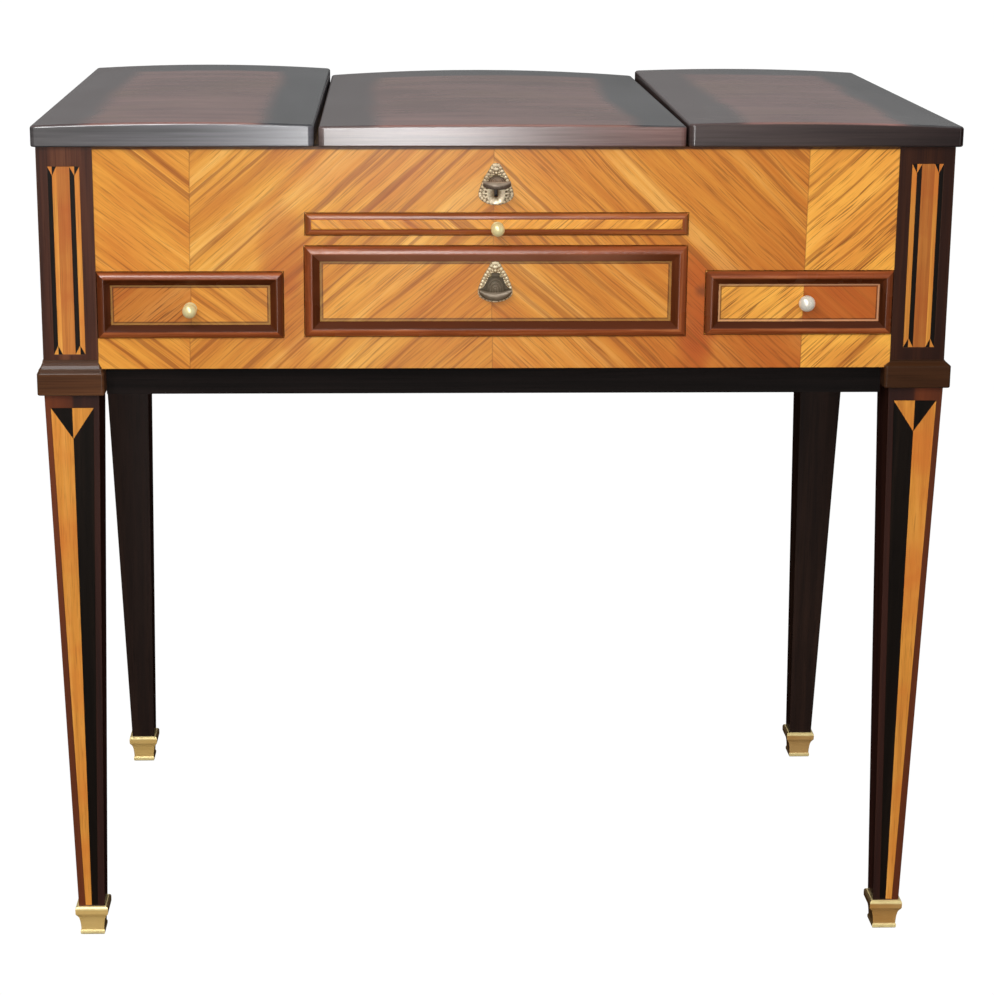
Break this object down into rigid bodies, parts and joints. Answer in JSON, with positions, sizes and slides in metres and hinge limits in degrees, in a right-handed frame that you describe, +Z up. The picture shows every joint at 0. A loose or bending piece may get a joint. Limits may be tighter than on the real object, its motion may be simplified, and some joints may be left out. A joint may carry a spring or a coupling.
{
  "type": "dressing table",
  "caption": "Neoclassical poudreuse dressing table: hinged lids over wells, a mirror, a writing slide, drawers and tapering inlaid legs with brass sabots.",
  "frame": {"origin": "centre of the whole table's footprint box, on the floor", "axes": "+X along the front to the viewer's right, front faces -Y, +Z up"},
  "size_m": [0.81, 0.5282, 0.7717],
  "materials": {
    "veneer_front": "golden satinwood veneer laid diagonally, french polished",
    "veneer_side": "satinwood veneer, french polished",
    "lid_wood": "dark stained veneer, satin polish",
    "post_wood": "dark purplewood veneer, polished",
    "leg_wood": "dark brown polished wood",
    "moulding_wood": "reddish brown polished moulding",
    "inlay_light": "pale boxwood inlay",
    "inlay_ribs": "amber satinwood inlay between the flutes",
    "inlay_dark": "ebonised inlay",
    "carcase_oak": "plain oak",
    "carcase_pine": "plain softwood",
    "dark_wood": "blackened wood",
    "gilt_brass": "worn gilt brass",
    "bronze": "darkened antique brass",
    "silvered": "worn silvered knob",
    "hinge_brass": "plain brass",
    "steel": "plain steel",
    "mirror": "silvered glass"
  },
  "bodies": {
    "case": {"front_board": "veneer_front", "side_panel_left": "veneer_side", "side_panel_right": "veneer_side", "back_panel": "carcase_oak", "corner_post_front_left": "post_wood", "corner_post_front_right": "post_wood", "corner_post_back_left": "post_wood", "corner_post_back_right": "post_wood", "leg_front_left": "leg_wood", "leg_front_right": "leg_wood", "leg_back_left": "leg_wood", "leg_back_right": "leg_wood", "leg_collars": "post_wood", "sabots": "gilt_brass", "bottom_board": "carcase_pine", "bottom_rails": "dark_wood", "partitions": "carcase_oak", "partition_caps": "carcase_oak", "well_floors": "carcase_oak", "dust_board": "carcase_pine", "drawer_and_slide_runners": "carcase_pine", "hinge_leaves_case": "hinge_brass", "hinge_pins": "steel", "lid_lock": "steel", "escutcheon_upper": "gilt_brass", "inlay_light_wood": "inlay_light", "inlay_ebony": "inlay_dark", "inlay_ribs": "inlay_ribs"},
    "left_lid": {"lid_left": "lid_wood", "hinge_leaves_lid_left": "hinge_brass"},
    "right_lid": {"lid_right": "lid_wood", "hinge_leaves_lid_right": "hinge_brass"},
    "center_lid": {"lid_center": "lid_wood", "mirror_glass": "mirror", "mirror_frame": "moulding_wood", "hinge_leaves_lid_center": "hinge_brass"},
    "drawer_left": {"drawer_left_front": "veneer_front", "drawer_left_moulding": "moulding_wood", "drawer_left_sides_and_back": "carcase_oak", "drawer_left_bottom": "carcase_oak", "drawer_left_knob": "gilt_brass"},
    "drawer_right": {"drawer_right_front": "veneer_front", "drawer_right_moulding": "moulding_wood", "drawer_right_sides_and_back": "carcase_oak", "drawer_right_bottom": "carcase_oak", "drawer_right_knob": "silvered"},
    "drawer_center": {"drawer_center_front": "veneer_front", "drawer_center_moulding": "moulding_wood", "drawer_center_sides_and_back": "carcase_oak", "drawer_center_bottom": "carcase_oak", "escutcheon_lower": "gilt_brass", "drawer_lock": "steel"},
    "writing_slide": {"slide_front": "veneer_front", "slide_moulding": "moulding_wood", "slide_board": "carcase_oak", "slide_knob": "gilt_brass"},
    "drop_upper": {"keyhole_drop_upper": "gilt_brass"},
    "drop_lower": {"keyhole_drop_lower": "bronze"},
    "lid_bolt": {"lid_lock_bolt": "steel"},
    "drawer_bolt": {"drawer_lock_bolt": "steel"}
  },
  "joints": [
    {"name": "left_lid_hinge", "type": "hinge", "parent": "case", "child": "left_lid", "pos_m": [-0.4015, 0.00856, 0.7455], "axis": [0, -1, 0], "range_deg": [0, 180]},
    {"name": "right_lid_hinge", "type": "hinge", "parent": "case", "child": "right_lid", "pos_m": [0.4026, 0.00856, 0.7455], "axis": [0, 1, 0], "range_deg": [0, 180]},
    {"name": "center_lid_hinge", "type": "hinge", "parent": "case", "child": "center_lid", "pos_m": [0.005, 0.25756, 0.7455], "axis": [-1, 0, 0], "range_deg": [0, 100]},
    {"name": "drawer_left_slide", "type": "slide", "parent": "case", "child": "drawer_left", "axis": [0, -1, 0], "range_m": [0, 0.36]},
    {"name": "drawer_right_slide", "type": "slide", "parent": "case", "child": "drawer_right", "axis": [0, -1, 0], "range_m": [0, 0.36]},
    {"name": "drawer_center_slide", "type": "slide", "parent": "case", "child": "drawer_center", "axis": [0, -1, 0], "range_m": [0, 0.36]},
    {"name": "writing_slide_slide", "type": "slide", "parent": "case", "child": "writing_slide", "axis": [0, -1, 0], "range_m": [0, 0.28]},
    {"name": "upper_drop_pivot", "type": "hinge", "parent": "case", "child": "drop_upper", "pos_m": [-0.0011, -0.24084, 0.7194], "axis": [-1, 0, 0], "range_deg": [-72, 60]},
    {"name": "lower_drop_pivot", "type": "hinge", "parent": "drawer_center", "child": "drop_lower", "pos_m": [-0.0011, -0.24084, 0.6334], "axis": [-1, 0, 0], "range_deg": [0, 120]},
    {"name": "lid_bolt_slide", "type": "slide", "parent": "case", "child": "lid_bolt", "axis": [0, 0, 1], "range_m": [0, 0.006]},
    {"name": "drawer_bolt_slide", "type": "slide", "parent": "drawer_center", "child": "drawer_bolt", "axis": [0, 0, 1], "range_m": [0, 0.005]}
  ]
}
